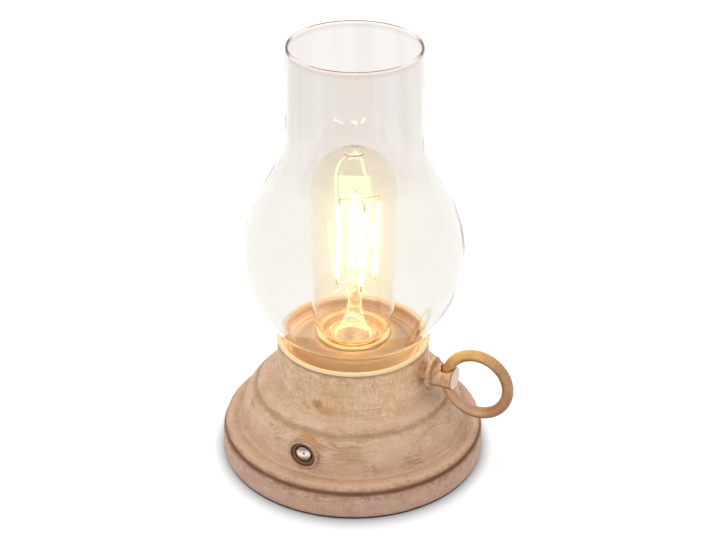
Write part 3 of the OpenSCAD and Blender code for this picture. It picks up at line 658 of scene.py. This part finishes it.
# ---------------------------------------------------------------- stage
floor_me = bpy.data.meshes.new("floor")
floor_me.from_pydata([(-6, -6, 0), (6, -6, 0), (6, 6, 0), (-6, 6, 0)], [], [(0, 1, 2, 3)])
floor = bpy.data.objects.new("floor", floor_me)
scene.collection.objects.link(floor)
g = Graph("floor_painted_shadow")
x, y, z, r, p = g.obj()
# painted contact shadow: the floor darkens towards the lamp's foot, reaching further on the front side
front_shade_weight = g.math("DIVIDE", g.sub(g.mul(x, 0.427), g.mul(y, 0.904)), g.math("MAXIMUM", r, 1.0), clamp=True)
shadow_fade = g.math("POWER", g.step(r, 71.5, g.add(g.mul(g.mul(front_shade_weight, front_shade_weight), 4.5), 78.5), 0.0, 1.0, False), 0.60)
g.set("Base Color", g.mix(shadow_fade, (0.12, 0.115, 0.115), (0.46, 0.46, 0.46)))
g.set("Roughness", 0.8)
g.set("Specular IOR Level", 0.0)
g.set("Emission Color", g.mix(shadow_fade, (0.26, 0.26, 0.26), (1.0, 1.0, 1.0)))
g.set("Emission Strength", 0.60)
floor_me.materials.append(g.mat)

world = bpy.data.worlds.new("studio")
scene.world = world
world.use_nodes = True
wn = world.node_tree
bg = wn.nodes["Background"]
bg.inputs["Color"].default_value = (1, 1, 1, 1)
bg.inputs["Strength"].default_value = 0.88


def area(name, loc, target, size, power, col=(1, 1, 1), size_y=None):
    li = bpy.data.lights.new(name, "AREA")
    li.shape = "RECTANGLE" if size_y else "DISK"
    li.size = size
    if size_y:
        li.size_y = size_y
    li.energy = power
    li.color = col
    ob = bpy.data.objects.new(name, li)
    ob.location = loc
    ob.rotation_euler = (Vector(target) - Vector(loc)).to_track_quat("-Z", "Y").to_euler()
    ob.visible_transmission = False
    scene.collection.objects.link(ob)
    return ob


lights = [area("top_soft", (-0.25, -0.35, 1.6), (0, 0, 0.05), 1.0, 7.5)]
lights[0].visible_glossy = False


def glow(name, loc, power, radius, col=(1.0, 0.80, 0.53)):
    li = bpy.data.lights.new(name, "POINT")
    li.energy = power
    li.color = col
    li.shadow_soft_size = radius
    ob = bpy.data.objects.new(name, li)
    ob.location = loc
    ob.visible_camera = False
    ob.visible_glossy = False
    ob.visible_transmission = False
    scene.collection.objects.link(ob)
    return ob


for k in range(3):
    z = 0.108 + 0.020 * k
    lights.append(glow(f"lamp_glow_{k}", (0, 0, z), 0.09, 0.012))

# the lamp's own glow doesn't reach the staged table
off_floor = bpy.data.collections.new("staged_table")
off_floor.objects.link(floor)
for c in off_floor.collection_objects:
    c.light_linking.link_state = "EXCLUDE"
for li in lights[1:]:
    li.light_linking.receiver_collection = off_floor

# glass doesn't shade these lights
clear = bpy.data.collections.new("clear_glass")
for li in lights:
    li.light_linking.blocker_collection = clear
for ob in (chimney, envelope, nodes["bulb_stem"]):
    clear.objects.link(ob)
for c in clear.collection_objects:
    c.light_linking.link_state = "EXCLUDE"

# ---------------------------------------------------------------- camera
cam_d = bpy.data.cameras.new("cam")
cam = bpy.data.objects.new("cam", cam_d)
scene.collection.objects.link(cam)
scene.camera = cam
az, L, H, pitch, roll = math.radians(25.3), 0.7942, 0.5621, math.radians(29.62), 0.0055
cam.location = (L * math.sin(az), -L * math.cos(az), H)
cam.rotation_mode = "XYZ"
cam.matrix_world = (Matrix.Translation(cam.location) @ Matrix.Rotation(az, 4, "Z")
                    @ Matrix.Rotation(math.pi / 2 - pitch, 4, "X") @ Matrix.Rotation(roll, 4, "Z"))
cam_d.sensor_width = 36.0
cam_d.lens = 86.04
cam_d.shift_x = 4.4 / 716
cam_d.clip_start = 0.01
cam_d.clip_end = 30

scene.view_settings.view_transform = "Standard"
scene.view_settings.look = "None"
scene.use_nodes = True
ct = scene.node_tree
ct.nodes.clear()
rl = ct.nodes.new("CompositorNodeRLayers")
gl = ct.nodes.new("CompositorNodeGlare")
gl.glare_type = "BLOOM"
gl.quality = "HIGH"
gl.inputs["Threshold"].default_value = 2.2
gl.inputs["Strength"].default_value = 0.42
gl.inputs["Size"].default_value = 0.55
co = ct.nodes.new("CompositorNodeComposite")
ct.links.new(rl.outputs["Image"], gl.inputs["Image"])
ct.links.new(gl.outputs["Image"], co.inputs["Image"])
scene.cycles.max_bounces = 40
scene.cycles.transmission_bounces = 40
scene.cycles.glossy_bounces = 8
scene.cycles.diffuse_bounces = 4
